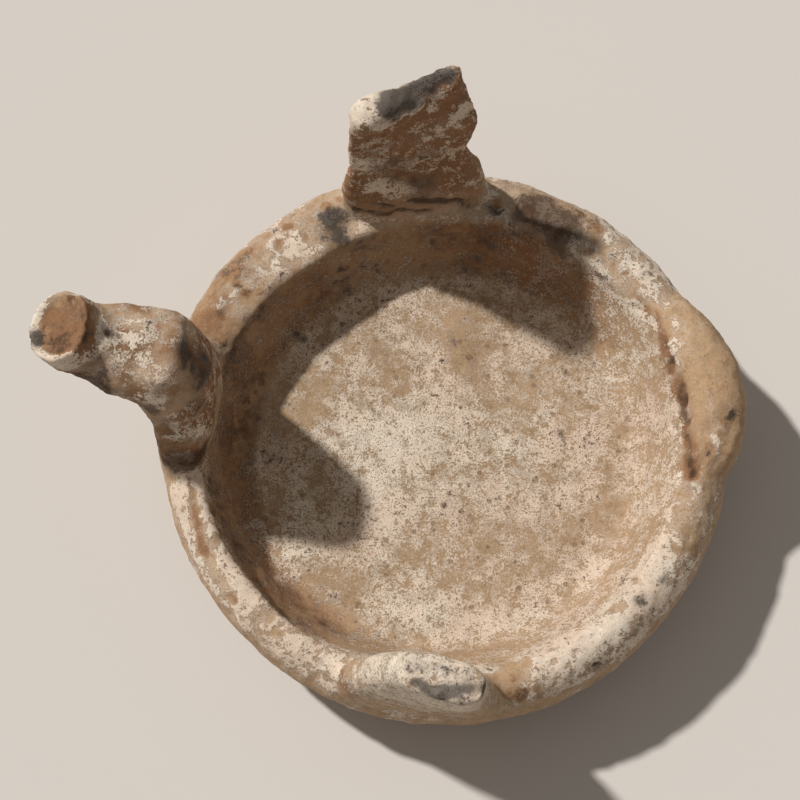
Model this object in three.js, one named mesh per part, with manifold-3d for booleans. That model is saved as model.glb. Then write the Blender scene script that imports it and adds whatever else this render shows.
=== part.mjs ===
// Lamp dish of fired clay with one bent branch, two broken fins and the stump of a lost branch.
// The clay was joined before firing, so the whole work is one body.
// Millimetres, Z up, with the middle of the foot's underside at the origin.
// Angles are in degrees, counter-clockwise from +X when seen from above.
import * as THREE from 'three';
import { mergeVertices } from 'three/addons/utils/BufferGeometryUtils.js';
import Module from 'manifold-3d';

// Dish
const bowlRadius = 72.3;
const bowlHeight = 32;
const bellyHeight = 21;
const footRadius = 47;
const footBevel = 1.5;
const rimInnerRadius = 59;
const shoulderWidth = 7.5;
const innerEdgeRound = 1.3;
const lipFall = 0.6;
const bowlDepth = 20;
const floorDish = 1.2;
const floorRadius = 53;
const floorCornerWidth = 9;
const floorCornerRise = 6;

// Slow waves of the hand-made rim: count round the dish, size, and the angle of a crest
const outerWaves = [[1, 1.6, 90], [2, 0.5, 120], [3, 0.6, 23]];
const innerWaves = [[1, 1.4, 270], [2, 0.6, 28], [3, 0.6, 60]];

// Bent branch on the left: a strap rises from the rim, an elbow turns out and the end turns up
const branchAngle = 171.3;
const branchRise = 42;
const branchReach = 92.2;
const strapRootWidth = 36;
const strapRootShift = 3.9;
const strapRootThickness = 14.6;
const elbowWidth = 24.4;
const elbowThickness = 18.6;
const branchEndWidth = 18.2;
const branchEndThickness = 17;
const endFaceShare = 0.86;
const endFaceDepth = 1.3;

// Broken leaf-like fin at the back
const backFinAngle = 96;
const backFinRise = 52;
const backFinBaseWidth = 38.5;
const backFinTopWidth = 27;
const backFinBaseThickness = 12.5;
const backFinTopThickness = 5.6;
const backFinLean = 4.8;
const backFinTwist = 4.9;
const backFinShift = 2;
const backFinBreakTilt = 20;
const backFinBreakSlope = 5;
const backFinBreakDrop = 1.5;
const backLobeLength = 14;
const backLobeThickness = 9;
const backLobeHeight = 8.5;
const backLobeSkew = 5.5;
const backLobeOverhang = 2.4;
const backLobeDrop = 1;

// Broken fin at the front
const frontFinAngle = 264.5;
const frontFinRise = 50;
const frontFinBaseWidth = 40;
const frontFinTopWidth = 20;
const frontFinTopShift = 5;
const frontFinBaseThickness = 12;
const frontFinTopThickness = 9;
const frontFinLean = 6.9;
const frontFinTwist = 2.2;
const frontFinBreakTilt = 8;
const frontFinBreakSlope = 6;
const frontFinBreakDrop = 1;

// Stump of the lost branch on the right, with a groove between it and the inner edge of the rim
const stumpAngle = 12;
const stumpSweep = 43;
const stumpReach = 77;
const stumpRise = 4.5;
const stumpSetBack = 1.4;
const grooveWidth = 2.6;
const grooveDepth = 2.6;
const grooveSweep = 22;

// How far every added part is sunk into the rim
const rootSink = 10;

// Facets
const bowlSides = 60;
const partSides = 24;
const curveSteps = 6;

const clay = new THREE.MeshStandardMaterial({ color: 0xb79a7b, roughness: 0.93, metalness: 0 });

const wasm = await Module();
wasm.setup();

const radians = THREE.MathUtils.degToRad;
const lerp = THREE.MathUtils.lerp;

function waveSum(angle, waves) {
  const waveAt = ([count, size, crest]) => size * Math.cos(count * (angle - radians(crest)));
  return waves.reduce((sum, wave) => sum + waveAt(wave), 0);
}

function outerRadiusAt(angle) {
  return bowlRadius + waveSum(angle, outerWaves);
}

function innerRadiusAt(angle) {
  return rimInnerRadius + waveSum(angle, innerWaves);
}

// Middle line of the rim, where a part stands on it
function rimMiddleAt(angle) {
  return (outerRadiusAt(angle) - shoulderWidth / 2 + innerRadiusAt(angle)) / 2;
}

// Closed geometry through a row of rings, with a fan over the first and the last
function loft(rings) {
  const sides = rings[0].length;
  const points = rings.flat();
  const first = points.length;
  const centreOf = (ring) => ring.reduce((sum, p) => sum.add(p), new THREE.Vector3()).divideScalar(sides);
  points.push(centreOf(rings[0]), centreOf(rings[rings.length - 1]));
  const index = [];
  for (let row = 0; row < rings.length - 1; row += 1) {
    for (let side = 0; side < sides; side += 1) {
      const next = (side + 1) % sides;
      const a = row * sides + side;
      const b = row * sides + next;
      index.push(a, b, b + sides, a, b + sides, a + sides);
    }
  }
  const last = (rings.length - 1) * sides;
  for (let side = 0; side < sides; side += 1) {
    const next = (side + 1) % sides;
    index.push(first, next, side);
    index.push(first + 1, last + side, last + next);
  }
  const geometry = new THREE.BufferGeometry();
  const positions = points.flatMap((p) => [p.x, p.y, p.z]);
  geometry.setAttribute('position', new THREE.Float32BufferAttribute(positions, 3));
  geometry.setIndex(index);
  return geometry;
}

function toSolid(geometry) {
  const bare = geometry.clone();
  bare.deleteAttribute('normal');
  bare.deleteAttribute('uv');
  const merged = mergeVertices(bare, 1e-4);
  const mesh = new wasm.Mesh({
    numProp: 3,
    vertProperties: new Float32Array(merged.attributes.position.array),
    triVerts: new Uint32Array(merged.index.array),
  });
  return new wasm.Manifold(mesh);
}

function toGeometry(solid) {
  const mesh = solid.getMesh();
  const geometry = new THREE.BufferGeometry();
  geometry.setAttribute('position', new THREE.BufferAttribute(mesh.vertProperties, 3));
  geometry.setIndex(new THREE.BufferAttribute(mesh.triVerts, 1));
  geometry.computeVertexNormals();
  return geometry;
}

// Frame that stands on the rim at one angle: out from the dish, sideways counter-clockwise, and up
function rimFrame(angleDegrees) {
  const angle = radians(angleDegrees);
  const out = new THREE.Vector3(Math.cos(angle), Math.sin(angle), 0);
  const side = new THREE.Vector3(-Math.sin(angle), Math.cos(angle), 0);
  const place = (o, s, z) => out.clone().multiplyScalar(o).addScaledVector(side, s).setZ(z);
  return { angle, out, side, place };
}

// Rounded box section: a superellipse in the plane of two directions, squarer as power grows
function section(centre, across, halfAcross, along, halfAlong, power = 2) {
  const ring = [];
  for (let step = 0; step < partSides; step += 1) {
    const turn = (2 * Math.PI * step) / partSides;
    const bend = (value) => Math.sign(value) * Math.abs(value) ** (2 / power);
    ring.push(centre.clone()
      .addScaledVector(across, halfAcross * bend(Math.cos(turn)))
      .addScaledVector(along, halfAlong * bend(Math.sin(turn))));
  }
  return ring;
}

// Profile of the dish at one angle: radius and height, from the foot over the rim to the floor
function bowlProfile(angle) {
  const outer = outerRadiusAt(angle);
  const inner = innerRadiusAt(angle);
  const floorLevel = bowlHeight - bowlDepth;
  const lipLevel = bowlHeight - lipFall;
  const profile = [[footRadius - footBevel, 0]];
  for (let step = 0; step <= curveSteps; step += 1) {
    const turn = (Math.PI / 2) * (step / curveSteps);
    profile.push([
      lerp(footRadius, outer, Math.sin(turn)),
      lerp(footBevel, bellyHeight, 1 - Math.cos(turn)),
    ]);
  }
  for (let step = 1; step <= curveSteps; step += 1) {
    const turn = (Math.PI / 2) * (step / curveSteps);
    profile.push([
      outer - shoulderWidth * (1 - Math.cos(turn)),
      lerp(bellyHeight, bowlHeight, Math.sin(turn)),
    ]);
  }
  const edgeSteps = curveSteps / 2;
  for (let step = 0; step <= edgeSteps; step += 1) {
    const turn = (Math.PI / 2) * (step / edgeSteps);
    profile.push([
      inner + innerEdgeRound * (1 - Math.sin(turn)),
      lipLevel - innerEdgeRound * (1 - Math.cos(turn)),
    ]);
  }
  for (let step = 0; step <= curveSteps; step += 1) {
    const turn = (Math.PI / 2) * (step / curveSteps);
    profile.push([
      floorRadius - floorCornerWidth * (1 - Math.cos(turn)),
      floorLevel + floorCornerRise * (1 - Math.sin(turn)),
    ]);
  }
  const flatRadius = floorRadius - floorCornerWidth;
  for (const share of [0.7, 0.35]) {
    profile.push([flatRadius * share, floorLevel - floorDish * (1 - share ** 2)]);
  }
  return profile;
}

function makeBowl() {
  const profiles = [];
  for (let side = 0; side < bowlSides; side += 1) {
    const angle = (2 * Math.PI * side) / bowlSides;
    profiles.push({ angle, profile: bowlProfile(angle) });
  }
  const rows = profiles[0].profile.length;
  const rings = Array.from({ length: rows }, (_, row) => profiles.map(({ angle, profile }) => {
    const [radius, height] = profile[row];
    return new THREE.Vector3(radius * Math.cos(angle), radius * Math.sin(angle), height);
  }));
  return toSolid(loft(rings));
}

// Smooth value through evenly spaced stations
function smoothThrough(values, share) {
  const last = values.length - 1;
  const line = new THREE.SplineCurve(values.map((value, i) => new THREE.Vector2(i / last, value)));
  return line.getPoint(share).y;
}

// Strap of the branch: rises from the rim, narrows sideways and ends in the domed back of the elbow
function makeStrap(frame) {
  const rimMiddle = rimMiddleAt(frame.angle);
  const elbowOut = lerp(rimMiddle, branchReach, 0.16);
  const rows = 14;
  const rings = [];
  for (let row = 0; row <= rows; row += 1) {
    const share = row / rows;
    const height = lerp(bowlHeight - rootSink, bowlHeight + branchRise * 0.9, share);
    const out = lerp(rimMiddle, elbowOut, smoothThrough([0, 0, 0.02, 0.3, 0.75, 1, 1.05], share));
    const shift = strapRootShift * smoothThrough([1, 1, 0.7, 0.3, 0.06, 0, 0], share);
    const widening = smoothThrough([1, 1, 0.66, 0.25, 0.04, -0.08, -0.6], share);
    const thickening = smoothThrough([0, 0, 0.1, 0.4, 1, 0.9, -1.4], share);
    const width = lerp(elbowWidth, strapRootWidth, widening);
    const thickness = lerp(strapRootThickness, elbowThickness, thickening);
    const centre = frame.place(out, shift, height);
    rings.push(section(centre, frame.out, thickness / 2, frame.side, width / 2, 2.4));
  }
  return toSolid(loft(rings));
}

// Outer length of the branch: swept from inside the elbow to the upturned end with its hollowed face
function makeBranch(frame) {
  const rimMiddle = rimMiddleAt(frame.angle);
  const tip = bowlHeight + branchRise;
  const stations = [[-0.12, 0.6], [0.3, 0.69], [0.66, 0.76], [0.88, 0.85], [1, 1]];
  const path = new THREE.CatmullRomCurve3(stations.map(([reach, rise]) => frame.place(
    lerp(rimMiddle, branchReach, reach),
    0,
    lerp(bowlHeight, tip, rise),
  )));
  const rows = 14;
  const rings = [];
  let upward;
  for (let row = 0; row <= rows; row += 1) {
    const share = row / rows;
    const dome = Math.sqrt(Math.min(1, 0.16 + 4 * share));
    const narrowing = smoothThrough([0.1, 0, 0.35, 0.85, 1, 1], share);
    const thinning = smoothThrough([0.6, 0.2, 0.5, 1.3, 1, 1], share);
    const width = lerp(elbowWidth, branchEndWidth, narrowing);
    const thickness = lerp(elbowThickness, branchEndThickness, thinning);
    upward = new THREE.Vector3().crossVectors(frame.side, path.getTangent(share));
    const halfUp = (dome * thickness) / 2;
    const halfSide = (dome * width) / 2;
    rings.push(section(path.getPoint(share), upward, halfUp, frame.side, halfSide, 2.1));
  }
  const end = path.getPoint(1);
  const facing = path.getTangent(1);
  const closing = [
    [0.98, 0.4],
    [endFaceShare + 0.06, 0.8],
    [endFaceShare, 0.5],
    [endFaceShare * 0.85, 0.5 - endFaceDepth],
  ];
  for (const [share, along] of closing) {
    rings.push(section(
      end.clone().addScaledVector(facing, along),
      upward,
      (branchEndThickness / 2) * share,
      frame.side,
      (branchEndWidth / 2) * share,
      2.1,
    ));
  }
  return toSolid(loft(rings));
}

// Slab between two edges that rise from the rim; each edge gives how far sideways and out it lies
function makeFin(frame, rise, edges, thicknessAt, rows = 14) {
  const rings = [];
  for (let row = 0; row <= rows; row += 1) {
    const share = row / rows;
    const height = lerp(bowlHeight - rootSink, bowlHeight + rise, share);
    const left = edges(share, 1);
    const right = edges(share, -1);
    const a = frame.place(left.out, left.side, height);
    const b = frame.place(right.out, right.side, height);
    const along = a.clone().sub(b);
    const half = along.length() / 2;
    along.normalize();
    const across = new THREE.Vector3().crossVectors(along, new THREE.Vector3(0, 0, 1));
    rings.push(section(a.add(b).multiplyScalar(0.5), across, thicknessAt(share) / 2, along, half, 3));
  }
  return toSolid(loft(rings));
}

// Everything above a broken top: a block whose underside tilts out of the dish and slopes sideways
function breakBlock(frame, at, tilt, slope) {
  const size = 4 * bowlRadius;
  const block = new THREE.BoxGeometry(size, size, size);
  block.translate(0, 0, size / 2);
  block.rotateX(radians(slope));
  block.rotateY(radians(-tilt));
  block.rotateZ(frame.angle);
  block.translate(at.x, at.y, at.z);
  return toSolid(block);
}

function makeBackFin(frame) {
  const rimMiddle = rimMiddleAt(frame.angle);
  const edges = (share, hand) => {
    const wave = hand > 0
      ? smoothThrough([0, 0.03, 0.02, 0, 0.01, 0.01, 0], share)
      : smoothThrough([0, 0.01, -0.01, -0.07, 0.03, -0.02, 0.02], share);
    const half = lerp(backFinBaseWidth, backFinTopWidth, share) / 2 + wave * backFinBaseWidth;
    const lean = backFinLean - hand * backFinTwist;
    const bow = hand > 0 ? [0, -0.5, -0.7, -0.4, 0.4, 1.4] : [0, 0.14, 0.27, 0.45, 0.82, 1.4];
    const out = rimMiddle + lean * smoothThrough(bow, share);
    return { side: hand * half + backFinShift * share, out };
  };
  const thinning = [0, 0.3, 0.9, 1, 1];
  const thicknessAt = (share) => (
    lerp(backFinBaseThickness, backFinTopThickness, smoothThrough(thinning, share))
  );
  const slab = makeFin(frame, backFinRise + backFinTopThickness, edges, thicknessAt);
  const breakAt = frame.place(rimMiddle + backFinLean, 0, bowlHeight + backFinRise - backFinBreakDrop);
  return slab.subtract(breakBlock(frame, breakAt, backFinBreakTilt, backFinBreakSlope));
}

// Rolled lobe on the top left corner of the back fin
function makeBackLobe(frame) {
  const rimMiddle = rimMiddleAt(frame.angle);
  const rows = 10;
  const rings = [];
  const corner = backFinTopWidth / 2 + backLobeOverhang;
  const level = bowlHeight + backFinRise - backLobeDrop;
  const leftOut = rimMiddle + backFinLean - backFinTwist;
  const start = frame.place(leftOut, corner, level);
  const finish = frame.place(leftOut + backLobeSkew, corner - backLobeLength, level);
  const along = finish.clone().sub(start).normalize();
  const across = new THREE.Vector3().crossVectors(along, new THREE.Vector3(0, 0, 1)).normalize();
  const up = new THREE.Vector3().crossVectors(across, along);
  for (let row = 0; row <= rows; row += 1) {
    const share = row / rows;
    const girth = smoothThrough([0.62, 0.98, 1, 0.92, 0.72, 0.3], share);
    rings.push(section(
      start.clone().lerp(finish, share),
      up,
      (backLobeHeight / 2) * girth,
      across,
      (backLobeThickness / 2) * girth,
      2.2,
    ));
  }
  return toSolid(loft(rings));
}

function makeFrontFin(frame) {
  const rimMiddle = rimMiddleAt(frame.angle);
  const edges = (share, hand) => {
    const narrowing = hand > 0
      ? smoothThrough([0, 0.05, 0.55, 0.85, 0.95, 1.05], share)
      : smoothThrough([0, 0.05, 0.4, 0.72, 0.95, 1.15], share);
    const half = lerp(frontFinBaseWidth, frontFinTopWidth, narrowing) / 2;
    const twist = hand * frontFinTwist * smoothThrough([0, 0.6, 1, 1, 0.6], share);
    const out = rimMiddle + frontFinLean * smoothThrough([0, 0.15, 0.42, 0.7, 1.05], share) + twist;
    return { side: hand * half + frontFinTopShift * smoothThrough([0, 0, 0.45, 0.85, 1], share), out };
  };
  const thicknessAt = (share) => lerp(frontFinBaseThickness, frontFinTopThickness, share);
  const slab = makeFin(frame, frontFinRise + frontFinTopThickness / 2, edges, thicknessAt);
  const breakAt = frame.place(rimMiddle + frontFinLean, 0, bowlHeight + frontFinRise - frontFinBreakDrop);
  return slab.subtract(breakBlock(frame, breakAt, frontFinBreakTilt, frontFinBreakSlope));
}

// Part of a ring round the dish, from sections in the plane of the radius and the height
function sweepRound(angleDegrees, sweepDegrees, rows, sectionAt) {
  const rings = [];
  for (let row = 0; row <= rows; row += 1) {
    const share = row / rows;
    const frame = rimFrame(angleDegrees + sweepDegrees * (share - 0.5));
    const { out, height, halfOut, halfUp, power } = sectionAt(share, frame);
    const up = new THREE.Vector3(0, 0, 1);
    rings.push(section(frame.place(out, 0, height), up, halfUp, frame.out, halfOut, power));
  }
  return toSolid(loft(rings));
}

function makeStump() {
  return sweepRound(stumpAngle, stumpSweep, 16, (share, frame) => {
    const swell = Math.sin(Math.PI * share) ** 0.55;
    const inner = innerRadiusAt(frame.angle) + stumpSetBack;
    const rimOuter = outerRadiusAt(frame.angle) - shoulderWidth / 2;
    const outer = lerp(rimOuter, stumpReach, swell * smoothThrough([1.1, 1.04, 0.96, 0.8], share));
    const top = bowlHeight - 1.5 + (stumpRise + 1.5) * swell;
    const low = lerp(bellyHeight, bellyHeight - 5, swell);
    return {
      out: (inner + outer) / 2,
      height: (top + low) / 2,
      halfOut: (outer - inner) / 2,
      halfUp: (top - low) / 2,
      power: 2.6,
    };
  });
}

function makeGroove() {
  return sweepRound(stumpAngle - 2, grooveSweep, 8, (share, frame) => {
    const taper = 0.35 + 0.65 * Math.sin(Math.PI * share);
    return {
      out: innerRadiusAt(frame.angle) + stumpSetBack * 0.5 + grooveWidth / 2,
      height: bowlHeight + 1,
      halfOut: (grooveWidth / 2) * taper,
      halfUp: 1 + grooveDepth * taper,
      power: 2,
    };
  });
}

const branchFrame = rimFrame(branchAngle);
const backFinFrame = rimFrame(backFinAngle);
const frontFinFrame = rimFrame(frontFinAngle);

const body = makeBowl()
  .add(makeStump())
  .subtract(makeGroove())
  .add(makeStrap(branchFrame))
  .add(makeBranch(branchFrame))
  .add(makeBackFin(backFinFrame))
  .add(makeBackLobe(backFinFrame))
  .add(makeFrontFin(frontFinFrame));

const bowl = new THREE.Mesh(toGeometry(body), clay);
bowl.name = 'branched_lamp_bowl';

const group = new THREE.Group();
group.add(bowl);

export default group;
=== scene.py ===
import itertools
import math

import bmesh
import bpy
import numpy as np
from mathutils import Matrix, Vector


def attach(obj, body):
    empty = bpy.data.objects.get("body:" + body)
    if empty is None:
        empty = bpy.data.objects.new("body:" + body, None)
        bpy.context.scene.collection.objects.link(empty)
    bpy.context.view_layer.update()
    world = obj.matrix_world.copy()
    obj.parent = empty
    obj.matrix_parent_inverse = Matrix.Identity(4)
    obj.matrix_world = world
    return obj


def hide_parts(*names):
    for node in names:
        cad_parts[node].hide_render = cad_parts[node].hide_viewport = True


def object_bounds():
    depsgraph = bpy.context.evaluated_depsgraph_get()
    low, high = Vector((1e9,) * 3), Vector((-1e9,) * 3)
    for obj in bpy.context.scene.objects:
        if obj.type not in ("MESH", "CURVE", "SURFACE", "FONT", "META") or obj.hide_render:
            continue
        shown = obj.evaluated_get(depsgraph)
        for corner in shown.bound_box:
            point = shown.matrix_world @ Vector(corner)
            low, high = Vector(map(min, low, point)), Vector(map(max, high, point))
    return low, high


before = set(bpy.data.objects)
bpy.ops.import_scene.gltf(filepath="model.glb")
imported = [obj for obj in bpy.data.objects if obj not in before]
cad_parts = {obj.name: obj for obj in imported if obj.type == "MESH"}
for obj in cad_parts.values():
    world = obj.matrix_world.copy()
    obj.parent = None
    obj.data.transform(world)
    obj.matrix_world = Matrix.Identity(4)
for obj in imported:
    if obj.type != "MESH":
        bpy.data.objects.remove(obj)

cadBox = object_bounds()
nodeName = "branched_lamp_bowl"

# Angles are counter-clockwise from +X, seen from above. Relief is worked out in millimetres.
mm = 0.001

dish = dict(
    voxel=0.88,         # mesh size of the finished clay
    rimHeight=32.0,
    relaxRounds=14,
    roots=((171, 20), (96, 20), (264.5, 19), (12, 26)),   # middle and half width of each, in degrees
)


# Smooth random field with lumps about one cell wide, from -1 to 1
def lumpNoise(points, cell, seed):
    grid = points / cell + 31.7 * seed
    base = np.floor(grid).astype(np.int64)
    part = grid - base
    ease = part * part * part * (part * (part * 6 - 15) + 10)
    total = np.zeros(len(points))
    for corner in itertools.product((0, 1), repeat=3):
        corner = np.array(corner)
        spot = base + corner
        code = (spot[:, 0] * 73856093) ^ (spot[:, 1] * 19349663) ^ (spot[:, 2] * 83492791)
        slope = []
        for axis in range(3):
            mixed = (code + 7919 * axis + 104729 * seed) & 0xFFFFFFFF
            mixed = ((mixed ^ (mixed >> 15)) * 0x2C1B3C6D) & 0xFFFFFFFF
            mixed = ((mixed ^ (mixed >> 12)) * 0x297A2D39) & 0xFFFFFFFF
            slope.append(((mixed ^ (mixed >> 15)) & 0xFFFF) / 32767.5 - 1)
        reach = part - corner
        weight = np.prod(np.where(corner, ease, 1 - ease), axis=1)
        total += weight * (np.stack(slope, 1) * reach).sum(1)
    return total * 1.3


# Several sizes of lumps added together
def layeredNoise(points, cell, seed, layers=3, keep=0.5):
    total = np.zeros(len(points))
    size = 1.0
    for layer in range(layers):
        total += size * lumpNoise(points, cell / 2 ** layer, seed + 13 * layer)
        size *= keep
    return total


# 0 below low, 1 above high, smooth between
def rise(value, low, high):
    share = np.clip((value - low) / (high - low), 0, 1)
    return share * share * (3 - 2 * share)


# 1 between low and high, with soft ends
def band(value, low, high, soft):
    return rise(value, low - soft, low + soft) * (1 - rise(value, high - soft, high + soft))


# 1 on the line from start to finish, fading out over its width
def stroke(points, start, finish, width):
    start, finish = np.array(start, float), np.array(finish, float)
    along = finish - start
    share = np.clip((points - start) @ along / (along @ along), 0, 1)
    away = points - start - share[:, None] * along
    return np.exp(-((away ** 2).sum(1)) / width ** 2)


# Difference of two angles, from -180 to 180
def turnFrom(angle, middle):
    return (angle - middle + 180) % 360 - 180


# 1 within near degrees of the middle, 0 beyond far
def around(angle, middle, near, far):
    return 1 - rise(np.abs(turnFrom(angle, middle)), near, far)


print("stage 1: take the dish from the frame and give it an even mesh")


def evenMesh(source, name, voxel):
    piece = bpy.data.objects.new(name, source.data.copy())
    bpy.context.scene.collection.objects.link(piece)
    remesh = piece.modifiers.new("evenMesh", "REMESH")
    remesh.mode = "VOXEL"
    remesh.voxel_size = voxel * mm
    depsgraph = bpy.context.evaluated_depsgraph_get()
    mesh = bpy.data.meshes.new_from_object(piece.evaluated_get(depsgraph))
    piece.modifiers.clear()
    piece.data = mesh
    mesh.name = name
    mesh.materials.clear()
    return piece


def readPoints(mesh):
    flat = np.empty(len(mesh.vertices) * 3, np.float32)
    mesh.vertices.foreach_get("co", flat)
    return flat.reshape(-1, 3).astype(float) / mm


def writePoints(mesh, points):
    mesh.vertices.foreach_set("co", (points * mm).astype(np.float32).ravel())
    mesh.update()


def readNormals(mesh):
    flat = np.empty(len(mesh.vertices) * 3, np.float32)
    mesh.vertex_normals.foreach_get("vector", flat)
    return flat.reshape(-1, 3).astype(float)


def readEdges(mesh):
    flat = np.empty(len(mesh.edges) * 2, np.int32)
    mesh.edges.foreach_get("vertices", flat)
    return flat.reshape(-1, 2)


# Pulls each point towards the middle of its neighbours; amount is 0 to 1 for each point
def relax(points, edges, amount, rounds):
    count = np.bincount(edges.ravel(), minlength=len(points))[:, None]
    for _ in range(rounds):
        total = np.zeros_like(points)
        for axis in range(3):
            total[:, axis] = (
                np.bincount(edges[:, 0], points[edges[:, 1], axis], len(points))
                + np.bincount(edges[:, 1], points[edges[:, 0], axis], len(points))
            )
        points = points + amount[:, None] * (total / count - points)
    return points


# Keeps the largest connected shell; the even mesh leaves loose crumbs beside thin broken edges
def dropCrumbs(mesh):
    edges = readEdges(mesh)
    label = np.arange(len(mesh.vertices))
    settled = False
    while not settled:
        before = label.copy()
        lowest = np.minimum(label[edges[:, 0]], label[edges[:, 1]])
        np.minimum.at(label, edges[:, 0], lowest)
        np.minimum.at(label, edges[:, 1], lowest)
        label = label[label]
        settled = (label == before).all()
    largest = np.bincount(label).argmax()
    shell = bmesh.new()
    shell.from_mesh(mesh)
    crumbs = [point for point in shell.verts if label[point.index] != largest]
    bmesh.ops.delete(shell, geom=crumbs, context="VERTS")
    shell.to_mesh(mesh)
    shell.free()
    print("loose crumb points dropped:", len(crumbs))


lampBody = evenMesh(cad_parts[nodeName], "lampBody", dish["voxel"])
mesh = lampBody.data
dropCrumbs(mesh)
edges = readEdges(mesh)
points = readPoints(mesh)
print("points", len(points), "faces", len(mesh.polygons))


print("stage 2: blend the joins and soften the cut edges")

x, y, z = points.T
radius = np.hypot(x, y)
angle = np.degrees(np.arctan2(y, x)) % 360

foot = z < 1.0
roots = np.zeros(len(points))
for middle, reach in dish["roots"]:
    roots = np.maximum(roots, around(angle, middle, reach - 5, reach + 3))
join = band(z, 28, 38, 3) * rise(radius, 57, 60) * roots
elbow = stroke(points, (-69, 12, 55), (-65, 12, 55), 12)
amount = np.clip(0.12 + 0.7 * join + 0.8 * elbow, 0, 0.8)
amount[foot] = 0
points = relax(points, edges, amount, dish["relaxRounds"])
writePoints(mesh, points)


print("stage 3: where slip, soil and stains lie")

x, y, z = points.T
radius = np.hypot(x, y)
angle = np.degrees(np.arctan2(y, x)) % 360
normals = readNormals(mesh)
# 1 where the surface looks outward, and 1 where it looks up
facing = (normals[:, 0] * x + normals[:, 1] * y) / np.maximum(radius, 1)
facingUp = normals[:, 2]

onFoot = z < 0.4
floorPart = (1 - rise(radius, 46, 52)) * rise(facingUp, 0.2, 0.5) * (z < 18)
wallPart = band(radius, 49, 64, 1.5) * band(z, 12, 30.5, 1.5) * rise(-facing, 0.0, 0.3)
outerPart = rise(facing, 0.1, 0.45) * (1 - rise(z, 28, 31)) * rise(radius, 55, 62)
underPart = (1 - rise(facingUp, -0.5, -0.2)) * (1 - rise(z, 12, 20))
branchPart = rise(z, 33, 37) * (x < -50)
backFinPart = rise(z, 33.5, 37) * (y > 48)
frontFinPart = rise(z, 33, 36) * (y < -50)
stumpPart = around(angle, 12, 17, 23) * rise(radius, 61, 63) * rise(z, 24, 30) * (z < 40)
risen = np.clip(branchPart + backFinPart + frontFinPart, 0, 1)
rimPart = rise(facingUp, 0.15, 0.5) * rise(radius, 56.5, 58.5) * (1 - risen) * rise(z, 24, 28)
breakFace = (backFinPart + frontFinPart) * rise(z, 76, 79) * rise(facingUp, 0.45, 0.75)

# Amount of cream slip left on the rim at some angles
slipRound = dict(
    angle=(0, 14, 26, 31, 56, 61, 69, 74, 84, 100, 118, 124, 140,
           150, 160, 178, 187, 212, 240, 262, 278, 284, 290, 325, 334, 348),
    slip=(0.38, 0.30, 0.50, 0.64, 0.60, 0.44, 0.44, 0.56, 0.50, 0.50, 0.46, 0.48, 0.40,
          0.42, 0.44, 0.54, 0.72, 0.68, 0.68, 0.66, 0.60, 0.34, 0.70, 0.72, 0.52, 0.46),
    elsewhere=0.30,
)
broadLumps = layeredNoise(points, 15, 21, 3)
middleLumps = layeredNoise(points, 5.5, 22, 3)
smallLumps = layeredNoise(points, 2.2, 23, 2)

slipField = np.full(len(points), slipRound["elsewhere"])
slipOnRim = np.interp(angle, slipRound["angle"], slipRound["slip"], period=360)
slipField += rimPart * (slipOnRim - slipRound["elsewhere"])
slipField += floorPart * 0.29
slipField += wallPart * (0.20 * around(angle, -15, 35, 75))
slipField += branchPart * 0.11 + backFinPart * 0.07 + frontFinPart * (0.16 + 0.30 * rise(z, 36, 62))
slipField -= 0.10 * rimPart * around(angle, 148, 8, 24)
slipField += 0.12 * broadLumps + 0.20 * middleLumps + 0.14 * smallLumps
outerEdge = band(facing, 0.25, 0.75, 0.15) * band(z, 24, 31, 2) * (1 - risen)
slipField -= 0.22 * outerEdge * (1 + middleLumps)
slipField -= stumpPart * 0.30

# Brown hollow face of the branch end, with white slip left round it
fromEnd = np.sqrt(((points - np.array((-89.5, 13.8, 74.0))) ** 2).sum(1))
endFace = (1 - rise(fromEnd, 6.8, 7.8)) * rise(facingUp, 0.3, 0.6)
endRing = band(fromEnd, 7.6, 10.0, 0.7) * branchPart * rise(facingUp, -0.3, 0.1)
slipField += 0.38 * endRing - 0.5 * endFace

# Start and finish of places that more than one list below follows
places = dict(
    grooveBack=((56.0, 25, 31.4), (59.2, 13, 29.8)),       # groove beside the stump
    grooveMiddle=((59.2, 13, 29.8), (61.2, 0, 31.0)),
    grooveFront=((61.2, 0, 31.0), (62.0, -10, 31.8)),
    creviceHighLeft=((-21, 58.5, 41.5), (-11, 59, 39)),    # crevices at the root of the back fin
    creviceHighRight=((-8, 59, 40.5), (4, 60, 37)),
    creviceLowLeft=((-23, 57.5, 37.5), (-14, 58, 35.5)),
    creviceLowRight=((-12, 58, 36.5), (-3, 58, 34)),
    slitHigh=((-19, -70.5, 40), (-15, -70.5, 40)),         # small slits in the face of the front fin
    slitLow=((-18, -72, 36.5), (-14.5, -72, 36.5)),
    rimChip=((36.5, -58.3, 29), (37, -58.2, 29)),
    leftFlake=((-63.3, -12, 32), (-59.5, -31, 31)),        # flaked line on the left of the rim
)

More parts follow.
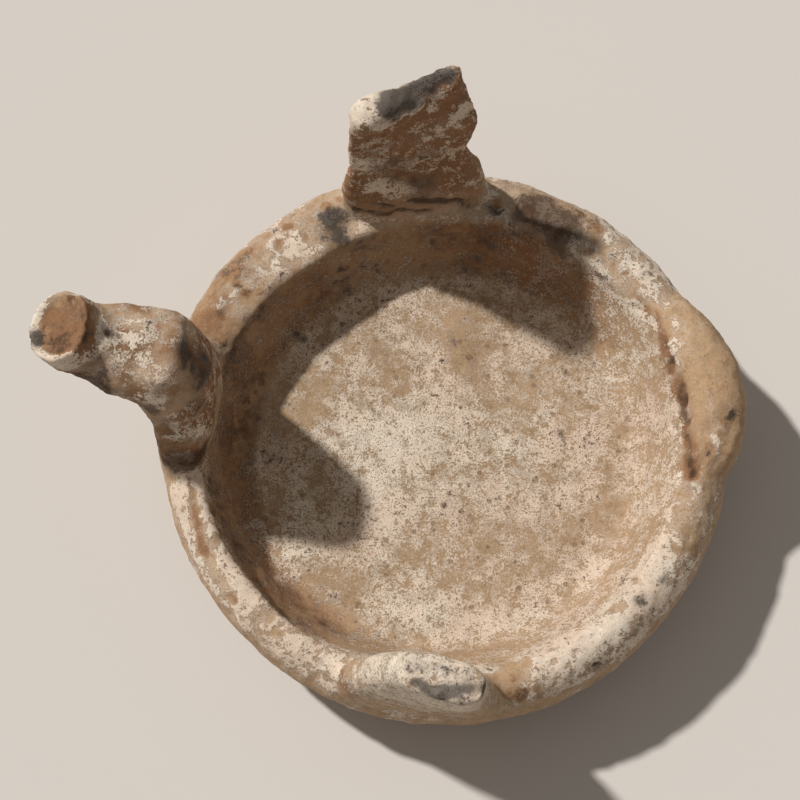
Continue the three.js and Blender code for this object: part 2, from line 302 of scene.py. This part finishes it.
# Marks: start, finish, width and strength of a stroke
slipMarks = [
    ((-80.6, 15, 80), (-79.5, 9, 62), 3.0, 0.45),      # white band behind the end of the branch
    ((-97, 18, 72), (-90, 4, 72), 2.2, 0.35),          # ring round the end face
    ((-74, 10, 70), (-70, 4, 64), 3.5, 0.35),
    ((-69, 3, 58), (-66, 0, 54), 3.5, 0.40),
    ((-66, -3, 45), (-57, -3, 43), 2.4, 0.42),         # pale band across its foot
    ((-66, -11, 33), (-58, -12, 32), 2.5, 0.25),
    ((7, 70, 77), (-5, 62, 68), 2.0, 0.36),            # pale streaks on the back fin
    ((8, 67, 70), (0, 61, 62), 1.9, 0.32),
    ((10, 65, 64), (8, 61, 54), 2.0, 0.28),
    ((-24, 61, 66), (-20, 61, 60), 3.0, 0.2),
    ((-16, 59, 50), (-10, 59, 46), 4.0, 0.30),
    ((-25, 63, 84), (-13, 66, 85), 5.0, 0.80),         # white lobe
    ((59, 27, 33), (58.5, 20, 34), 3.0, 0.40),         # slip on the inner side of the stump
    ((18, -62.5, 31), (36, -53, 32), 2.6, 0.16),       # white band along the front right of the rim
    ((36, -53, 32), (50, -40.5, 32), 2.8, 0.14),
    ((50, -40.5, 32), (61, -28, 32), 2.4, 0.12),
    ((-46, 44, 32), (-36, 51.5, 32), 3.2, 0.24),       # white places along the back left of the rim
    ((-58, 33, 32), (-51, 40, 32), 2.4, 0.24),
    ((69, -7, 33), (66, 9, 36), 1.6, 0.18),
]
floorPatches = [
    ((-24, 10, 12), (-3, 2, 12), 7, 0.24),             # whiter places on the floor
    ((-4, 23, 12), (6, 10, 12), 6, 0.18),
    ((-11, -39, 12), (9, -44, 12), 7, 0.16),
    ((14, -4, 12), (30, -12, 12), 7, 0.12),
    ((-19, -7, 12), (-14, -17, 12), 6, 0.20),
    ((36, -28, 12), (39, -30, 12), 7, 0.12),
    ((-36, 12, 12), (-34, 18, 12), 7, -0.24),          # browner places
    ((-28, 33, 12), (-20, 31, 12), 6, -0.18),
    ((3, 34, 12), (6, 28, 12), 5.5, -0.42),
    ((20, 13, 12), (31, 23, 12), 5, -0.26),
    ((28, -25, 12), (42, -16, 12), 6, -0.20),
    ((-32, -34, 12), (-28, -42, 12), 8, -0.28),
    ((-6, -28, 12), (2, -30, 12), 7, -0.24),
    ((-14, 16, 12), (-10, 20, 12), 5, -0.18),
    # painted shade: browner place on the floor along the left wall, where the rim's shadow falls
    ((-50, -6, 13), (-44, 20, 13), 9, -0.14),
]
slipGaps = [
    (*places["leftFlake"], 1.1, 0.45),
    ((13, -62, 32), (18, -61, 32), 3.0, 0.5),          # bare clay beside the front fin
    ((-46.5, -52.5, 31), (-45, -53.5, 31), 1.6, 0.6),
    ((-59, -39, 31), (-57.5, -41, 31), 1.5, 0.5),
    ((-53.5, -42, 31), (-52.5, -43, 31), 1.5, 0.5),
    ((-52, 40, 31), (-58, 30, 31), 1.6, 0.15),
    ((60, -26, 32), (63, -10, 32), 4.0, 0.15),
    ((-11, 60.5, 81), (4, 69, 79), 2.2, 0.5),          # bare band under the break of the back fin
    ((37.8, 52.3, 30), (60, 23.8, 30), 2.2, 0.45),
    ((-91, 15, 76), (-87, 13.5, 76), 6.2, 0.75),       # bare end face of the branch
]
soilAndShadeMarks = [
    ((23, 61, 33), (31, 56, 32), 5.0, 0.85),           # darker patch on the rim right of the back fin
    ((-13, 59, 56), (-6, 60, 50), 4.6, 0.45),          # soil patch on the back fin
    ((-12, 60, 62), (-4, 60, 60), 2.6, 0.25),
    (*places["creviceHighLeft"], 1.3, 0.60),
    (*places["creviceHighRight"], 1.4, 0.60),
    (*places["creviceLowLeft"], 1.2, 0.60),
    (*places["creviceLowRight"], 1.3, 0.60),
    ((-88, 6.5, 66), (-82, 5.5, 63), 4.4, 1.0),        # painted shade: dark patch under the branch end
    ((-79, 14, 74), (-78.5, 9, 66), 1.3, 0.55),
    ((-67, -7, 36), (-57, -7, 35), 3.4, 0.62),
    ((-66, 2, 60), (-61, 2, 52), 2.6, 0.40),
    ((-80, 4.5, 62), (-70, 0.5, 56), 2.6, 0.55),
    ((-78.5, 17, 75), (-77.5, 11, 73), 1.4, 0.55),
    ((60, 27, 31), (58.4, 19.5, 30.5), 1.5, 0.60),     # groove beside the stump
    (*places["grooveBack"], 1.3, 0.55),
    (*places["grooveMiddle"], 1.4, 0.62),
    (*places["grooveFront"], 1.3, 0.60),
    ((37.8, 52.3, 29), (60, 23.8, 29), 1.4, 0.62),     # painted shade in the undercut below the inner edge
    ((-35.7, -63, 21), (-30, -66, 20), 2.0, 0.5),
    (*places["rimChip"], 1.2, 0.9),
]
stainMarks = [
    ((-29, 58, 33), (-27, 53, 31), 3.8, 0.85),         # black patch left of the back fin
    ((5, 60, 35), (13, 60, 33), 2.6, 0.60),
    ((-14, 64.5, 85.5), (0, 72.5, 85.5), 3.0, 1.2),    # blackened break of the back fin
    ((-12, 67, 86), (-2, 73, 86), 2.2, 0.6),
    ((-97.5, 11.6, 72), (-97, 12, 70), 2.6, 0.8),      # grey spot at the branch end
    ((-61, 9, 68), (-59, 5, 60), 4.6, 0.62),           # grey mottles on the elbow
    ((-57, 12, 60), (-56, 9, 52), 3.0, 0.40),
    ((-13.5, -69, 81.5), (-8, -71.5, 81.5), 1.0, 0.55),   # dark sweep on top of the front fin
    ((-8, -71.5, 81.5), (-2.5, -74, 81.5), 1.1, 0.65),
    ((-2.5, -74, 81), (9, -73.0, 81), 1.7, 0.85),
    ((4, -72.5, 81), (9, -71.5, 81), 1.6, 0.40),
    ((-12, -68, 81), (0, -69, 81), 1.6, 0.16),
    ((11, -68, 78), (12.5, -67, 60), 1.8, 0.5),
    (*places["slitHigh"], 0.9, 0.9),
    (*places["slitLow"], 0.9, 0.8),
    ((30.4, 6.6, 11), (31.6, 2.4, 11), 0.75, 0.85),    # scratches in the floor
    ((31.8, 23.6, 12), (32.6, 21.6, 12), 0.75, 0.75),
    ((35.4, 24.6, 12), (50, 24.4, 13), 0.7, 0.30),
    ((2, 31, 11), (7, 27, 11), 4.5, 0.24),
    ((-4, 72, 80), (-13, 64, 78), 1.2, 0.25),
    ((-26, 62, 84), (-26, 62, 82), 2.2, 0.55),         # grey rim of the lobe
    ((47, -43, 32), (47.5, -42.6, 32), 2.0, 0.62),
    ((53, -37.5, 32), (53.5, -37, 32), 1.7, 0.60),
    ((71.5, 4, 35), (71.5, 3.5, 34), 1.9, 0.9),
    ((65.2, -5.5, 34), (65.2, -5.3, 34), 1.3, 0.8),
    ((-26.2, 47.1, 22), (-26.3, 47.2, 22), 1.8, 0.85),
    ((-37.3, 30.5, 14), (-37.4, 30.6, 14), 2.4, 0.60),
]
warmMarks = [
    (*places["grooveBack"], 1.8, 0.9),                 # red-brown groove beside the stump
    ((59.2, 13, 29.8), (62.0, -10, 31.8), 1.8, 1.0),
    ((50, 36, 30), (56.0, 25, 31.4), 1.6, 0.8),
    ((-22, 61.5, 74), (-20, 61, 66), 4.5, 0.8),        # orange patch on the back fin
    ((-11, 60.5, 81), (4, 69, 80), 2.4, 0.9),          # orange band under its break
    ((-90, 14, 78), (-86, 13, 78), 6.0, 0.6),
    # red-brown under the branch end, part of the painted shade there
    ((-92, 3, 68), (-84, 4, 62), 3.0, 0.7),
    ((-58, 12, 62), (-56, 6, 46), 5.0, 0.5),           # brown inner side of the branch
    ((-67, -6, 38), (-58, -7, 35), 4.5, 0.7),
    ((-74, 3, 62), (-64, 1, 54), 4.0, 0.5),
    ((-78, 16, 76), (-77.5, 6, 64), 1.8, 0.7),
    ((-27, -62, 34), (-24, -64, 36), 4.0, 0.7),        # orange smears left of the front fin
    ((-6, -72, 35), (-1, -72, 34), 2.4, 0.6),
    ((-8, -75, 70), (6, -76, 72), 3.0, 0.6),
    ((-56, 36, 32), (-61, 28, 32), 4.0, 0.3),
    (*places["leftFlake"], 2.2, 0.5),
]


def drawMarks(field, marks, ragged):
    for start, finish, width, strength in marks:
        field += strength * stroke(points + ragged, start, finish, width)


# How far each drawn line wanders
ragged = 1.1 * np.stack([layeredNoise(points, 4, 31 + axis, 2) for axis in range(3)], 1)
# Soil on the clay; this field also carries painted shade, added below on the side away from the light
soilAndShadeField = 0.10 + 0.16 * layeredNoise(points, 18, 24, 3) + 0.10 * middleLumps
# Side of the bowl away from the light: soil and red-brown added with this mask are painted shade
paintedShadeSide = rise(np.abs(turnFrom(angle, -35)), 60, 100)
soilAndShadeField += 0.18 * wallPart * paintedShadeSide + 0.10 * underPart + 0.02 * backFinPart
soilAndShadeField += 0.08 * branchPart + 0.12 * endFace
soilAndShadeField += (0.24 * backFinPart + 0.22 * branchPart) * layeredNoise(points, 9, 28, 2)
soilAndShadeField += 0.12 * rimPart * around(angle, 148, 8, 24) - 0.20 * stumpPart
# Painted shade on the outer floor on the side away from the light
soilAndShadeField += 0.08 * floorPart * paintedShadeSide * rise(radius, 30, 46)
backRight = around(angle, 64, 14, 28)
soilAndShadeField += 0.13 * backRight * rimPart
stainField = 0.04 + 0.13 * layeredNoise(points, 7, 25, 3) + 0.10 * smallLumps
stainField += 0.06 * backFinPart + 0.05 * branchPart + 0.20 * frontFinPart - 0.16 * stumpPart
warmField = 0.30 + 0.30 * layeredNoise(points, 20, 26, 2) + 0.12 * middleLumps
# The red-brown added on the wall away from the light is painted shade
warmField += 0.30 * wallPart * paintedShadeSide + (0.32 + 0.30 * rise(z, 36, 50)) * backFinPart + 0.10 * outerEdge
warmField += 0.25 * rimPart * around(angle, 140, 12, 26)
warmField -= 0.30 * stumpPart + 0.1 * floorPart
warmField += 0.20 * backRight * np.clip(rimPart + wallPart, 0, 1)
warmField += (0.32 + 0.45 * layeredNoise(points, 7, 27, 2)) * branchPart
speckField = 0.35 + 0.65 * floorPart + 0.25 * wallPart + 0.2 * broadLumps - 0.5 * frontFinPart
speckField -= 0.15 * stumpPart
crispField = 1 - floorPart - 0.85 * wallPart - 0.65 * frontFinPart - 0.25 * backFinPart
crispField -= 0.15 * branchPart

drawMarks(slipField, slipMarks, ragged)
drawMarks(slipField, floorPatches, 2.2 * ragged)

# Small flakes lost from the slip along the rim; sizes in millimetres, depth in shares of slip
flakes = dict(
    count=110, inner=58.5, outer=71.0, smallest=0.4, largest=1.6,
    depth=0.40, inside=0.3, outside=0.5, seed=14,
)
dice = np.random.default_rng(flakes["seed"])
for turn, reach, size in zip(
    dice.uniform(0, 2 * np.pi, flakes["count"]),
    dice.uniform(flakes["inner"], flakes["outer"], flakes["count"]),
    dice.uniform(flakes["smallest"], flakes["largest"], flakes["count"]),
):
    away = np.hypot(x + ragged[:, 0] - reach * np.cos(turn), y + ragged[:, 1] - reach * np.sin(turn))
    flake = 1 - rise(away, size - flakes["inside"], size + flakes["outside"])
    slipField -= flakes["depth"] * rimPart * flake

# Thin rings where the slip is worn: middle and radius
ringMarks = [
    ((-58.2, -39.8, 31), 1.9), ((-52.8, -42.3, 31), 1.7), ((60.9, -26.7, 32), 2.1),
    ((52, -22, 13), 2.3), ((43, 28, 14), 2.4), ((-12, 20, 11), 2.8), ((16, -30, 11), 2.2),
]
for centre, size in ringMarks:
    away = np.sqrt(((points + 0.3 * ragged - np.array(centre)) ** 2).sum(1))
    slipField -= 0.30 * band(away, size - 0.5, size + 0.5, 0.35)
drawMarks(soilAndShadeField, soilAndShadeMarks, ragged)
drawMarks(stainField, stainMarks, ragged)
drawMarks(warmField, warmMarks, ragged)
bare = np.zeros(len(points))
drawMarks(bare, slipGaps, ragged)
slipField -= bare
slipField = np.clip(slipField, 0, 1)


print("stage 4: relief of the clay")

relief = np.zeros(len(points))
handMade = 1 - 0.55 * floorPart - 0.3 * wallPart
relief += 0.42 * handMade * layeredNoise(points, 15, 1, 2)
relief += 0.26 * handMade * layeredNoise(points, 5, 2, 2)
relief += 0.10 * (1 + rimPart + risen) * layeredNoise(points, 2.0, 3, 2)
relief -= 0.30 * (rimPart + 0.6 * branchPart) * np.abs(layeredNoise(points, 4.5, 13, 3))

# The slip stands a little proud of the bare clay, and soil and painted shade sit a little lower
relief += 0.26 * rise(slipField, 0.44, 0.56) * crispField
relief += 0.10 * rise(slipField, 0.40, 0.60) * floorPart
relief -= 0.18 * rise(soilAndShadeField, 0.45, 0.6) * crispField
relief -= 0.55 * np.clip(bare, 0, 1)
relief -= 2.6 * wallPart * around(angle, 205, 25, 50)   # hollowed under the left inner edge

# Faint rings from throwing, on the floor, wall and outside
turned = np.stack([x * 0.06, y * 0.06, radius * (floorPart > 0.5) + z * (floorPart <= 0.5)], 1)
relief += 0.10 * layeredNoise(turned, 2.4, 4, 2) * np.clip(floorPart + wallPart + outerPart, 0, 1)

# Hollows and swellings: start, finish, width, height
forms = [
    ((4.7, 34.3, 11), (5.5, 33, 11), 6.0, 1.1),
    ((20, 20, 11), (24, 14, 11), 6.0, -0.3),
    ((37.8, 52.3, 29.3), (60, 23.8, 29.3), 1.5, -0.8),
    (*places["grooveBack"], 1.3, -0.7),
    (*places["grooveMiddle"], 1.4, -0.8),
    (*places["grooveFront"], 1.2, -0.8),
    (*places["creviceHighLeft"], 1.0, -0.5),
    (*places["creviceHighRight"], 1.1, -0.5),
    (*places["creviceLowLeft"], 0.9, -0.5),
    (*places["creviceLowRight"], 1.0, -0.5),
    ((-15, 58.5, 44.5), (-6, 60, 43), 0.9, -0.35),
    ((-2, 59.5, 44), (6, 60, 41), 0.9, -0.35),
    ((-30, 59, 33), (-26, 56, 32), 3.0, -0.5),
    ((-79, 18, 76), (-76.5, 5, 60), 3.0, -1.3),        # neck behind the branch end
    ((-66, 13, 72), (-63, 7, 71), 6.0, 1.8),           # knob of the elbow
    ((-61, 6, 66), (-58, 7, 58), 3.5, 0.6),
    ((-70, 4, 66), (-66, 1, 60), 3.5, 0.6),
    ((-58, 5, 56), (-57, 12, 54), 4.0, 0.7),
    ((-70, 16, 68), (-66, 18, 66), 4.0, 0.5),
    ((-68, -8, 34), (-56, 0, 40), 2.2, 0.7),           # drag marks at the branch root
    ((-70, 2, 42), (-60, 8, 38), 2.0, 0.6),
    (*places["slitHigh"], 0.9, -0.7),
    (*places["slitLow"], 0.9, -0.6),
    ((-12, -70.5, 84), (-2, -73.5, 84), 1.6, -0.8),
    ((1, -72.5, 84), (8, -72.5, 84), 2.2, -1.1),
    (*places["rimChip"], 1.3, -1.2),
    ((69, -8, 33), (72, 2, 35), 1.4, -0.5),
    ((63, -10, 32), (65, -4, 32), 1.2, -0.6),
    ((20, 62, 33), (28, 58, 33), 3.0, -0.5),
    ((-30, 47, 31), (-46, 38, 31), 2.4, 0.5),
    ((26, 52, 31.5), (46, 36, 31.5), 2.0, 0.45),       # raised inner edge at the back right
    ((-56, -22, 31.5), (-44, -42, 31.5), 1.8, 0.4),
]
for start, finish, width, height in forms:
    relief += height * stroke(points + ragged, start, finish, width)

# Streaks drawn up and across the fins, and rough broken tops
streaks = layeredNoise(np.stack([x + 0.35 * z, y * 0.6, z * 0.28], 1), 3.2, 5, 2)
relief += 0.28 * streaks * (backFinPart + 0.6 * frontFinPart) * (1 - breakFace)
slanted = layeredNoise(np.stack([(x - 0.8 * z) * 0.35, y * 0.5, (z + 0.8 * x) * 0.9], 1), 3.0, 12, 3)
relief += 0.25 * slanted * backFinPart * (1 - breakFace)
relief += 0.75 * breakFace * layeredNoise(points, 3.2, 6, 2)
relief += 0.55 * branchPart * layeredNoise(points, 7, 7, 2)
relief += 0.40 * stumpPart * layeredNoise(points, 6, 10, 3)
relief += 0.30 * outerPart * layeredNoise(points, 8, 11, 2)

# Worn pits in the rim and the branch
worn = np.clip(rimPart + branchPart + outerPart * 0.6 + 0.4 * backFinPart, 0, 1)
relief -= 0.9 * rise(lumpNoise(points, 3.4, 8), 0.52, 0.75) * worn
relief -= 0.35 * rise(lumpNoise(points, 2.2, 9), 0.55, 0.75) * floorPart

relief[onFoot] = 0
points = points + normals * relief[:, None]
lowest, highest = (np.array(corner) / mm for corner in cadBox)
points = np.clip(points, lowest, highest)
writePoints(mesh, points)


def writeField(mesh, name, values):
    field = mesh.attributes.new(name, "FLOAT", "POINT")
    field.data.foreach_set("value", values.astype(np.float32))


fields = dict(
    sandy=floorPart, slip=slipField, soilAndShade=soilAndShadeField, stain=stainField,
    warm=warmField, speck=speckField, crisp=crispField,
)
for name, values in fields.items():
    writeField(mesh, name, np.clip(values, 0, 1))
mesh.polygons.foreach_set("use_smooth", np.ones(len(mesh.polygons), bool))


print("stage 5: clay material")

clayLook = dict(
    ochre=(0.49, 0.33, 0.195),
    redBrown=(0.28, 0.142, 0.070),
    paleClay=(0.58, 0.45, 0.32),
    umber=(0.13, 0.077, 0.046),
    cream=(0.78, 0.68, 0.555),
    pinkCream=(0.69, 0.55, 0.43),
    thinSlip=(0.64, 0.50, 0.37),
    floorTan=(0.42, 0.285, 0.175),
    soilAndShade=(0.075, 0.040, 0.022),
    speck=(0.21, 0.125, 0.068),
    charcoal=(0.040, 0.034, 0.031),
    roughness=0.92,
    sheen=0.25,
    bumpStrength=0.6,
    bumpDepth=0.7,       # millimetres, as are the sizes below
    mottle=8.0,
    blotch=2.4,
    grain=0.55,
    cloud=30.0,
    spotSpacing=2.4,
)


def newMaterial(name):
    material = bpy.data.materials.new(name)
    material.use_nodes = True
    material.node_tree.nodes.clear()
    return material


def plainMaterial(name, colour, roughness):
    material = newMaterial(name)
    nodes = material.node_tree.nodes
    shader = nodes.new("ShaderNodeBsdfPrincipled")
    shader.inputs["Base Color"].default_value = (*colour, 1)
    shader.inputs["Roughness"].default_value = roughness
    output = nodes.new("ShaderNodeOutputMaterial")
    material.node_tree.links.new(shader.outputs[0], output.inputs["Surface"])
    return material


# Small helpers that add one node each and hand back its output
class Board:
    def __init__(self, material):
        self.tree = material.node_tree
        self.place = self.add("ShaderNodeTexCoord").outputs["Object"]

    def add(self, kind, **settings):
        node = self.tree.nodes.new(kind)
        for name, value in settings.items():
            setattr(node, name, value)
        return node

    def feed(self, socket, value):
        if isinstance(value, bpy.types.NodeSocket):
            self.tree.links.new(value, socket)
        else:
            socket.default_value = value

    def field(self, name):
        return self.add("ShaderNodeAttribute", attribute_name=name).outputs["Fac"]

    def noise(self, size, detail, roughness):
        node = self.add("ShaderNodeTexNoise")
        self.feed(node.inputs["Vector"], self.place)
        node.inputs["Scale"].default_value = 1 / (size * mm)
        node.inputs["Detail"].default_value = detail
        node.inputs["Roughness"].default_value = roughness
        return node.outputs["Fac"]

    def sum(self, *terms):
        total = None
        for value, factor in terms:
            node = self.add("ShaderNodeMath", operation="MULTIPLY_ADD")
            self.feed(node.inputs[0], value)
            self.feed(node.inputs[1], factor)
            self.feed(node.inputs[2], 0.0 if total is None else total)
            total = node.outputs[0]
        return total

    def times(self, first, second):
        node = self.add("ShaderNodeMath", operation="MULTIPLY")
        self.feed(node.inputs[0], first)
        self.feed(node.inputs[1], second)
        return node.outputs[0]

    def between(self, value, low, high):
        node = self.add("ShaderNodeMapRange", interpolation_type="SMOOTHSTEP")
        self.feed(node.inputs["Value"], value)
        self.feed(node.inputs["From Min"], low)
        self.feed(node.inputs["From Max"], high)
        return node.outputs["Result"]

    def blend(self, share, first, second):
        node = self.add("ShaderNodeMix", data_type="RGBA")
        self.feed(node.inputs[0], share)
        for socket, value in ((node.inputs[6], first), (node.inputs[7], second)):
            self.feed(socket, value if isinstance(value, bpy.types.NodeSocket) else (*value, 1))
        return node.outputs[2]


def clayMaterial(look):
    material = newMaterial("firedClay")
    board = Board(material)
    slip, soilAndShade, stain = board.field("slip"), board.field("soilAndShade"), board.field("stain")
    warm, speck, crisp = board.field("warm"), board.field("speck"), board.field("crisp")
    sandy = board.field("sandy")

    mottle = board.noise(look["mottle"], 10.0, 0.70)
    blotch = board.noise(look["blotch"], 6.0, 0.68)
    grain = board.noise(look["grain"], 3.0, 0.65)
    cloud = board.noise(look["cloud"], 5.0, 0.6)

    redder = board.sum((warm, 1.0), (mottle, 2.6), (blotch, 2.4), (grain, 1.0), (1.0, -2.95))
    warmth = board.between(redder, 0.0, 0.85)
    bareClay = board.blend(warmth, look["ochre"], look["redBrown"])
    pale = board.between(board.sum((grain, 0.5), (blotch, 0.7), (mottle, -0.4)), 0.44, 0.60)
    bareClay = board.blend(board.times(pale, 0.8), bareClay, look["paleClay"])
    dark = board.between(board.sum((blotch, 1.0), (mottle, 0.8), (grain, 0.3), (soilAndShade, 0.7)), 1.16, 1.36)
    bareClay = board.blend(board.times(dark, 0.6), bareClay, look["umber"])
    bareClay = board.blend(board.times(sandy, 0.62), bareClay, look["floorTan"])
    thin = board.between(board.sum((slip, 1.0), (mottle, 1.2), (blotch, 1.2), (1.0, -1.2)), 0.14, 0.46)
    thinShare = board.times(board.times(thin, crisp), board.between(warm, 0.95, 0.60))
    bareClay = board.blend(board.times(thinShare, 0.80), bareClay, look["thinSlip"])

    blotchShare = board.sum((crisp, -0.5), (1.0, 2.0))
    grainShare = board.sum((crisp, -1.6), (1.0, 2.4))
    cover = board.sum(
        (slip, 1.0),
        (board.sum((mottle, 1.0), (1.0, -0.5)), 2.1),
        (board.sum((blotch, 1.0), (1.0, -0.5)), blotchShare),
        (board.sum((grain, 1.0), (1.0, -0.5)), grainShare),
    )
    soft = board.sum((crisp, -0.12), (1.0, 0.22))
    coat = board.between(cover, board.sum((soft, -1.0), (1.0, 0.5)), board.sum((soft, 1.0), (1.0, 0.5)))
    cloudy = board.between(board.sum((cloud, 0.6), (mottle, 0.4)), 0.42, 0.58)
    creamTone = board.blend(cloudy, look["cream"], look["pinkCream"])
    edge = board.times(board.between(cover, 0.34, 0.45), board.between(cover, 0.58, 0.47))
    colour = board.blend(board.times(coat, 0.95), bareClay, creamTone)
    colour = board.blend(board.times(board.times(edge, crisp), 0.60), colour, look["redBrown"])

    spots = board.add("ShaderNodeTexVoronoi")
    board.feed(spots.inputs["Vector"], board.place)
    spots.inputs["Scale"].default_value = 1 / (look["spotSpacing"] * mm)
    picked = board.add("ShaderNodeSeparateColor")
    board.feed(picked.inputs[0], spots.outputs["Color"])
    size = board.sum((picked.outputs[0], 0.52), (speck, 0.10), (blotch, 0.75), (grain, 0.30), (1.0, -0.79))
    roundSpot = board.between(board.sum((spots.outputs["Distance"], -1.0), (size, 1.0)), -0.02, 0.10)
    fineSpot = board.between(board.sum((blotch, 0.7), (grain, 1.0), (speck, 0.05)), 0.97, 1.06)
    specks = board.sum((roundSpot, 0.60), (fineSpot, 0.80))
    speckShare = board.times(specks, board.sum((speck, 0.80), (1.0, 0.12)))
    colour = board.blend(speckShare, colour, look["speck"])

    # Soil colour, driven by the soil field, which also holds painted shade
    dirtAndShadeLevel = board.sum((soilAndShade, 1.0), (mottle, 2.0), (blotch, 1.3), (grain, 0.8), (1.0, -2.05))
    dirtAndShade = board.between(dirtAndShadeLevel, 0.26, 0.66)
    colour = board.blend(board.times(dirtAndShade, 0.85), colour, look["soilAndShade"])

    veil = board.between(board.sum((stain, 1.0), (blotch, 0.6), (1.0, -0.3)), 0.12, 0.80)
    colour = board.blend(board.times(veil, 0.5), colour, look["charcoal"])
    sooty = board.sum((stain, 1.0), (mottle, 1.9), (blotch, 1.4), (grain, 0.8), (1.0, -2.05))
    black = board.between(sooty, 0.34, 0.74)
    blackShare = board.times(black, board.sum((crisp, 0.25), (1.0, 0.53)))
    colour = board.blend(blackShare, colour, look["charcoal"])

    tone = board.add("ShaderNodeHueSaturation")
    board.feed(tone.inputs["Value"], board.sum((grain, 1.2), (blotch, 0.9), (mottle, 0.9), (1.0, -0.50)))
    board.feed(tone.inputs["Color"], colour)

    height = board.sum(
        (grain, 0.35), (blotch, 0.5), (coat, 0.25), (mottle, 0.8), (specks, -0.35), (dirtAndShade, -0.15),
    )
    bump = board.add("ShaderNodeBump")
    bump.inputs["Strength"].default_value = look["bumpStrength"]
    bump.inputs["Distance"].default_value = look["bumpDepth"] * mm
    board.feed(bump.inputs["Height"], height)

    shader = board.add("ShaderNodeBsdfPrincipled")
    board.feed(shader.inputs["Base Color"], tone.outputs[0])
    shader.inputs["Roughness"].default_value = look["roughness"]
    shader.inputs["Specular IOR Level"].default_value = look["sheen"]
    board.feed(shader.inputs["Normal"], bump.outputs[0])
    output = board.add("ShaderNodeOutputMaterial")
    board.feed(output.inputs["Surface"], shader.outputs[0])
    return material


firedClay = clayMaterial(clayLook)
mesh.materials.append(firedClay)

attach(lampBody, "root")
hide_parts(nodeName)


print("stage 6: floor, light and camera")

studio = dict(
    floorSize=2.4,
    floorColour=(0.66, 0.615, 0.57),
    floorRoughness=0.85,
    keyDirection=(0.735, -0.455, -1.0),   # the way the light travels
    keySoftness=3.0,                      # degrees
    keyColour=(1.0, 0.985, 0.96),
    keyStrength=3.2,
    fillColour=(1.0, 0.955, 0.90),
    fillStrength=0.23,
)

floorMesh = bpy.data.meshes.new("studioFloor")
half = studio["floorSize"] / 2
floorMesh.from_pydata(
    [(-half, -half, 0), (half, -half, 0), (half, half, 0), (-half, half, 0)], [], [(0, 1, 2, 3)]
)
studioFloor = bpy.data.objects.new("studioFloor", floorMesh)
bpy.context.scene.collection.objects.link(studioFloor)
floorMesh.materials.append(plainMaterial("paleFloor", studio["floorColour"], studio["floorRoughness"]))

keyLamp = bpy.data.lights.new("keyLight", "SUN")
keyLamp.energy = studio["keyStrength"]
keyLamp.angle = math.radians(studio["keySoftness"])
keyLamp.color = studio["keyColour"]
keyLight = bpy.data.objects.new("keyLight", keyLamp)
keyLight.rotation_euler = Vector(studio["keyDirection"]).to_track_quat("-Z", "Y").to_euler()
bpy.context.scene.collection.objects.link(keyLight)

world = bpy.data.worlds.new("studioFill")
world.use_nodes = True
backdrop = world.node_tree.nodes["Background"]
backdrop.inputs["Color"].default_value = (*studio["fillColour"], 1)
backdrop.inputs["Strength"].default_value = studio["fillStrength"]
bpy.context.scene.world = world

view = dict(
    elevation=73.0,                  # degrees above the floor
    distance=570.0,                  # millimetres from the middle of the rim
    focal=102.6,                     # millimetres
    sensor=36.0,                     # millimetres
    rimMiddle=(444.5, 433.0),        # pixel of the picture where the rim's middle falls
    picture=800,                     # pixels across
)
# Pixels in a millimetre at the rim
pixel = view["focal"] / view["sensor"] * view["picture"] / view["distance"]
tilt = math.radians(view["elevation"])
backward = Vector((0, -math.cos(tilt), math.sin(tilt)))
rightward = Vector((1, 0, 0))
upward = backward.cross(rightward)
place = Vector((0, 0, dish["rimHeight"])) + backward * view["distance"]
place -= rightward * ((view["rimMiddle"][0] - view["picture"] / 2) / pixel)
place += upward * ((view["rimMiddle"][1] - view["picture"] / 2) / pixel)

cameraData = bpy.data.cameras.new("photoView")
cameraData.lens = view["focal"]
cameraData.sensor_width = view["sensor"]
cameraData.clip_start = 0.05
cameraData.clip_end = 10.0
photoView = bpy.data.objects.new("photoView", cameraData)
turn = Matrix((rightward, upward, backward)).transposed().to_4x4()
photoView.matrix_world = Matrix.Translation(place * mm) @ turn
bpy.context.scene.collection.objects.link(photoView)
bpy.context.scene.camera = photoView

bpy.context.scene.view_settings.view_transform = "Standard"
